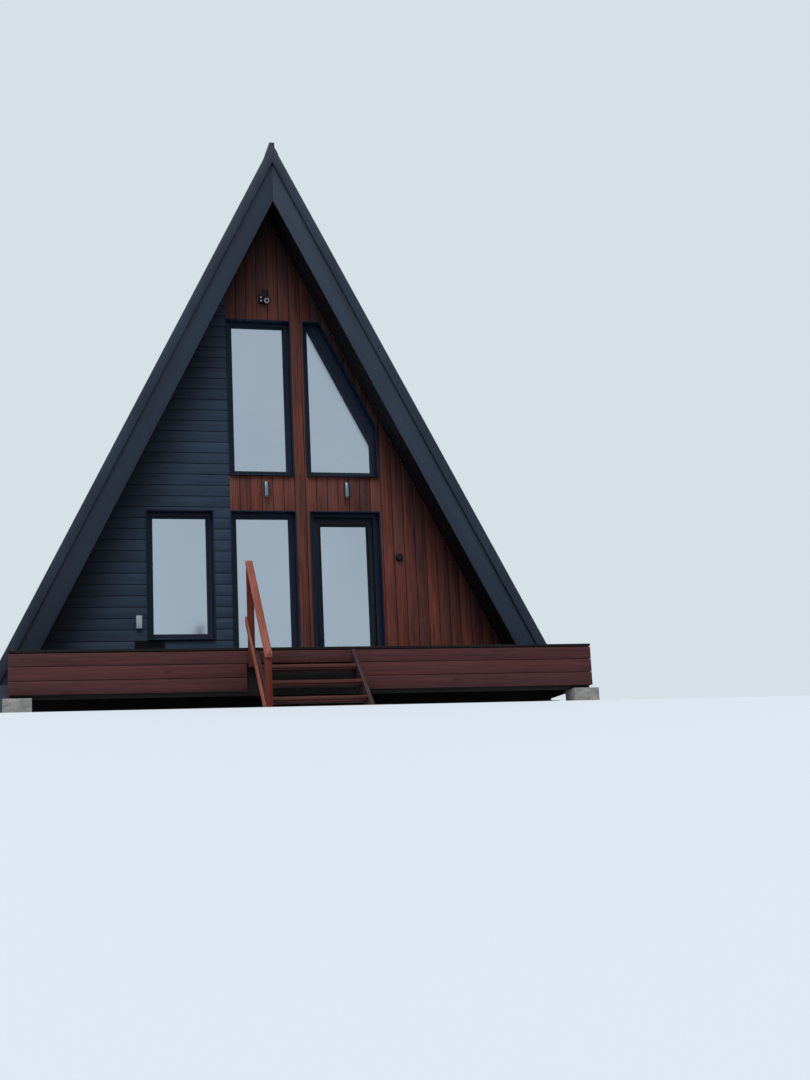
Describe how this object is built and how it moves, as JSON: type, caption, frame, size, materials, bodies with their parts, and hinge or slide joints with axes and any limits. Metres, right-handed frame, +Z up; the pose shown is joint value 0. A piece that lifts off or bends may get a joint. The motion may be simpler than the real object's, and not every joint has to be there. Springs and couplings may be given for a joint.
{
  "type": "a-frame cabin",
  "caption": "Two-storey A-frame timber cabin with steep roof down to the floor, raised front terrace with steps, tall glazing and a glazed door that opens.",
  "frame": {"origin": "on the ground under the middle of the whole footprint, in the plane of the ridge", "axes": "+X to the right along the front, +Y from the stair into the depth, +Z up"},
  "size_m": [7.3632, 11.919, 7.968],
  "materials": {
    "timber": "planed spruce, unpainted",
    "roof_metal": "matt coated steel sheet, slate grey",
    "barge_paint": "opaque anthracite paint",
    "dark_siding": "opaque anthracite stain",
    "red_brown_wood": "translucent red-brown stain",
    "deck_wood": "weathered red-brown stain",
    "rail_wood": "weathered red-brown stain",
    "frame_black": "satin anthracite powder coat",
    "glass": "clear double glazing",
    "handle_metal": "satin anodised",
    "concrete": "cast concrete, rough",
    "lamp_metal": "satin, brushed lengthways",
    "black_plastic": "fine moulded texture",
    "pale_plastic": "moulded, weathered"
  },
  "bodies": {
    "house": {"roof_left": "timber", "roof_right": "timber", "roof_sheet_left": "roof_metal", "roof_sheet_right": "roof_metal", "ridge_cap": "roof_metal", "barge_front_left": "barge_paint", "barge_front_right": "barge_paint", "barge_back_left": "barge_paint", "barge_back_right": "barge_paint", "verge_flashings": "roof_metal", "soffits": "red_brown_wood", "eave_boards": "barge_paint", "ground_floor": "timber", "upper_floor": "timber", "floor_beams": "timber", "wall_front_left": "timber", "wall_front_piers": "timber", "wall_front_right": "timber", "wall_front_band": "timber", "wall_front_upper_right": "timber", "wall_front_gable": "timber", "siding_dark_front": "dark_siding", "siding_red_front": "red_brown_wood", "wall_back_ground": "timber", "wall_back_upper": "timber", "siding_dark_back": "dark_siding", "window_low_left": "frame_black", "window_low_mid": "frame_black", "window_up_left": "frame_black", "window_up_right": "frame_black", "windows_back": "frame_black", "glass_ground": "glass", "glass_upper": "glass", "door_frame": "frame_black", "deck_boards": "deck_wood", "deck_joists": "timber", "deck_beams": "timber", "fascia_front": "deck_wood", "fascia_sides": "deck_wood", "footings": "concrete", "stringers": "deck_wood", "treads": "deck_wood", "stair_posts": "rail_wood", "stair_rails": "rail_wood", "wall_lamps": "lamp_metal", "security_light": "black_plastic", "junction_box": "black_plastic", "wall_socket": "pale_plastic", "vent_grille": "black_plastic"},
    "door": {"door_leaf": "frame_black", "door_glass": "glass", "door_handle": "handle_metal"}
  },
  "joints": [
    {"name": "door_hinge", "type": "hinge", "parent": "house", "child": "door", "pos_m": [1.3475, -2.2555, 1.9], "axis": [0, 0, -1], "range_deg": [0, 95]}
  ]
}
